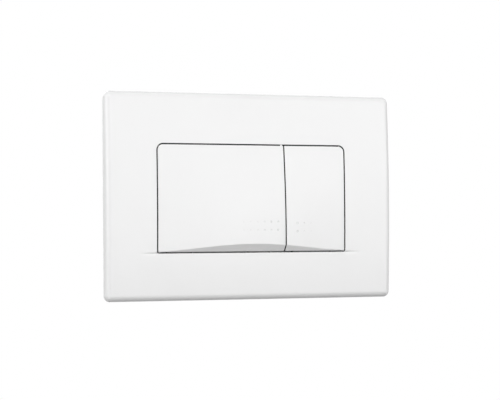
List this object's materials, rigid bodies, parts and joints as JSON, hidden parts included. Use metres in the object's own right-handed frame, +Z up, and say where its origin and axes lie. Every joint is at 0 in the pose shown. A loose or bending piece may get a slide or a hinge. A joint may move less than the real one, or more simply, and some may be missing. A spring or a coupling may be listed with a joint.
{
  "type": "dual flush button plate",
  "caption": "Wall flush plate: crowned rounded cover with a wide and a narrow hinged push button, on a mounting frame with sprung push rods and fixing bolts.",
  "frame": {"origin": "middle of the cover plate's rear rim, in the plane of the finished wall", "axes": "+X right as seen from the room, +Z up, +Y into the wall; the buttons face -Y"},
  "size_m": [0.246, 0.0838, 0.164],
  "materials": {
    "white_gloss": "high gloss moulded",
    "frame_plastic": "plain moulded",
    "grey_plastic": "plain moulded",
    "rod_plastic": "threaded, natural",
    "stainless": "drawn, bright",
    "zinc_steel": "zinc plated",
    "buffer_rubber": "matt"
  },
  "bodies": {
    "base": {"cover_plate": "white_gloss", "hinge_rod": "stainless", "hinge_rod_caps": "grey_plastic", "mounting_frame": "frame_plastic", "fixing_bolts": "grey_plastic", "fixing_washers": "zinc_steel", "full_rod_guide": "grey_plastic", "half_rod_guide": "grey_plastic", "full_button_buffers": "buffer_rubber", "half_button_buffers": "buffer_rubber", "full_return_spring": "stainless", "half_return_spring": "stainless"},
    "full_button": {"full_flush_button": "white_gloss"},
    "full_push": {"full_push_rod": "rod_plastic", "full_push_head": "grey_plastic", "full_lock_nut": "rod_plastic", "full_rod_clip": "stainless"},
    "half_button": {"half_flush_button": "white_gloss"},
    "half_push": {"half_push_rod": "rod_plastic", "half_push_head": "grey_plastic", "half_lock_nut": "rod_plastic", "half_rod_clip": "stainless"}
  },
  "joints": [
    {"name": "full_button_hinge", "type": "hinge", "parent": "base", "child": "full_button", "pos_m": [0, 0, 0.046], "axis": [1, 0, 0], "range_deg": [0, 7], "stiffness_Nm_per_rad": 1.75, "springref_deg": -6.59},
    {"name": "full_push_slide", "type": "slide", "parent": "base", "child": "full_push", "axis": [0, 1, 0], "range_m": [0, 0.0082], "deforming": ["full_return_spring"]},
    {"name": "half_button_hinge", "type": "hinge", "parent": "base", "child": "half_button", "pos_m": [0, 0, 0.046], "axis": [1, 0, 0], "range_deg": [0, 7], "stiffness_Nm_per_rad": 1.75, "springref_deg": -6.59},
    {"name": "half_push_slide", "type": "slide", "parent": "base", "child": "half_push", "axis": [0, 1, 0], "range_m": [0, 0.0082], "deforming": ["half_return_spring"]}
  ],
  "couplings": [
    {"joint": "full_push_slide", "follows": "full_button_hinge", "m_per_rad": 0.066},
    {"joint": "half_push_slide", "follows": "half_button_hinge", "m_per_rad": 0.066}
  ]
}
